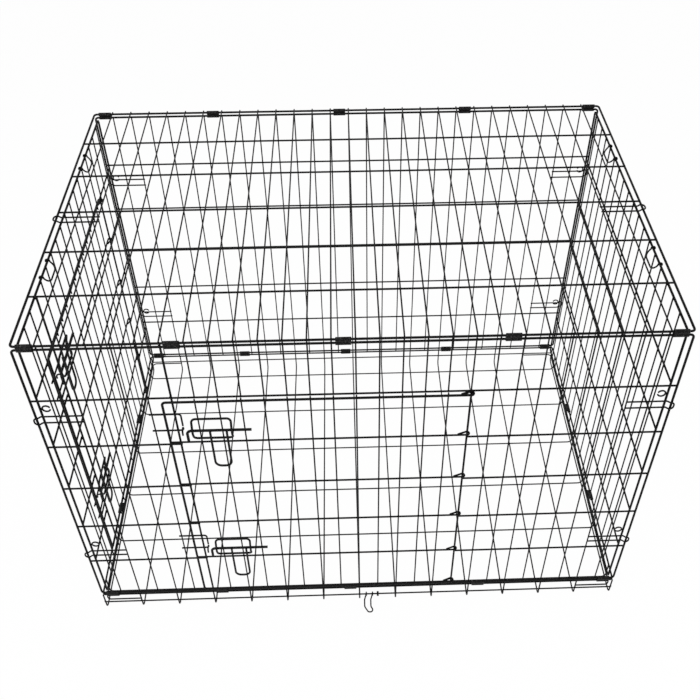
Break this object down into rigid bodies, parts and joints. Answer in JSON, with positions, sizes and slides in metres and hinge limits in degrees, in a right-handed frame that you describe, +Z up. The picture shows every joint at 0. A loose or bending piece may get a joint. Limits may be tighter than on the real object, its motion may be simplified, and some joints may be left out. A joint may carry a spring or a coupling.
{
  "type": "folding wire dog crate",
  "caption": "Folding wire dog crate with a swinging door on the long side and one on the end, slide-bolt latches, fold-in end panels and a shallow wire tray.",
  "frame": {"origin": "on the floor, below the middle of the tray", "axes": "+X along the long side to the right, -Y out of the front door side, +Z up"},
  "size_m": [1.0737, 0.7453, 0.763],
  "materials": {
    "coated_wire": "satin black powder coat",
    "clip_sheet": "satin black coat on folded sheet"
  },
  "bodies": {
    "frame": {"back_border": "coated_wire", "back_cross_wires": "coated_wire", "back_hooks": "coated_wire", "back_uprights": "coated_wire", "base_back_clips": "clip_sheet", "base_depth_wires": "coated_wire", "base_front_clips": "clip_sheet", "base_front_wire": "coated_wire", "base_guard_wires": "coated_wire", "base_long_wires": "coated_wire", "base_rim": "coated_wire", "front_border": "coated_wire", "front_cross_wires": "coated_wire", "front_hooks": "coated_wire", "front_keepers": "coated_wire", "front_posts": "coated_wire", "front_uprights": "coated_wire", "left_hinge_clips": "clip_sheet", "pan_stop_collar": "clip_sheet", "right_hinge_clips": "clip_sheet", "top_back_clips": "clip_sheet", "top_border": "coated_wire", "top_depth_wires": "coated_wire", "top_front_clips": "clip_sheet", "top_hooks": "coated_wire", "top_long_wires": "coated_wire"},
    "front_door": {"front_door_cross_wires": "coated_wire", "front_door_frame": "coated_wire", "front_door_uprights": "coated_wire", "front_lower_guide": "coated_wire", "front_upper_guide": "coated_wire"},
    "front_lower_bolt": {"front_lower_bolt": "coated_wire"},
    "front_lower_handle": {"front_lower_handle": "coated_wire"},
    "front_upper_bolt": {"front_upper_bolt": "coated_wire"},
    "front_upper_handle": {"front_upper_handle": "coated_wire"},
    "left_end": {"left_border": "coated_wire", "left_cross_wires": "coated_wire", "left_hook_rings": "coated_wire", "left_keepers": "coated_wire", "left_loops": "coated_wire", "left_posts": "coated_wire", "left_uprights": "coated_wire"},
    "left_door": {"left_door_cross_wires": "coated_wire", "left_door_frame": "coated_wire", "left_door_uprights": "coated_wire", "left_lower_guide": "coated_wire", "left_upper_guide": "coated_wire"},
    "left_lower_bolt": {"left_lower_bolt": "coated_wire"},
    "left_lower_handle": {"left_lower_handle": "coated_wire"},
    "left_upper_bolt": {"left_upper_bolt": "coated_wire"},
    "left_upper_handle": {"left_upper_handle": "coated_wire"},
    "pan_stop": {"pan_stop": "coated_wire"},
    "right_end": {"right_border": "coated_wire", "right_cross_wires": "coated_wire", "right_hook_rings": "coated_wire", "right_loops": "coated_wire", "right_uprights": "coated_wire"}
  },
  "joints": [
    {"name": "front_door_swing", "type": "hinge", "parent": "frame", "child": "front_door", "pos_m": [0.18986, -0.3536, 0.3375], "axis": [0, 0, -1], "range_deg": [-160, 0]},
    {"name": "left_end_fold", "type": "hinge", "parent": "frame", "child": "left_end", "pos_m": [-0.5241, 0, 0.05], "axis": [0, 1, 0], "range_deg": [0, 90]},
    {"name": "right_end_fold", "type": "hinge", "parent": "frame", "child": "right_end", "pos_m": [0.5241, 0, 0.05], "axis": [0, -1, 0], "range_deg": [0, 85]},
    {"name": "left_door_swing", "type": "hinge", "parent": "left_end", "child": "left_door", "pos_m": [-0.5241, 0.22967, 0.33], "axis": [0, 0, 1], "range_deg": [-160, 0]},
    {"name": "pan_stop_swing", "type": "hinge", "parent": "frame", "child": "pan_stop", "pos_m": [0.0205, -0.3566, 0.027], "axis": [-1, 0, 0], "range_deg": [0, 115]},
    {"name": "front_upper_bolt_slide", "type": "slide", "parent": "front_door", "child": "front_upper_bolt", "axis": [-1, 0, 0], "range_m": [0, 0.024]},
    {"name": "front_upper_handle_turn", "type": "hinge", "parent": "front_upper_bolt", "child": "front_upper_handle", "pos_m": [-0.23727, -0.3591, 0.55937], "axis": [1, 0, 0], "range_deg": [-140, 0]},
    {"name": "front_lower_bolt_slide", "type": "slide", "parent": "front_door", "child": "front_lower_bolt", "axis": [-1, 0, 0], "range_m": [0, 0.024]},
    {"name": "front_lower_handle_turn", "type": "hinge", "parent": "front_lower_bolt", "child": "front_lower_handle", "pos_m": [-0.23727, -0.3591, 0.21297], "axis": [1, 0, 0], "range_deg": [-140, 0]},
    {"name": "left_upper_bolt_slide", "type": "slide", "parent": "left_door", "child": "left_upper_bolt", "axis": [0, -1, 0], "range_m": [0, 0.024]},
    {"name": "left_upper_handle_turn", "type": "hinge", "parent": "left_upper_bolt", "child": "left_upper_handle", "pos_m": [-0.5296, -0.16317, 0.55687], "axis": [0, -1, 0], "range_deg": [-140, 0]},
    {"name": "left_lower_bolt_slide", "type": "slide", "parent": "left_door", "child": "left_lower_bolt", "axis": [0, -1, 0], "range_m": [0, 0.024]},
    {"name": "left_lower_handle_turn", "type": "hinge", "parent": "left_lower_bolt", "child": "left_lower_handle", "pos_m": [-0.5296, -0.16317, 0.20672], "axis": [0, -1, 0], "range_deg": [-140, 0]}
  ]
}
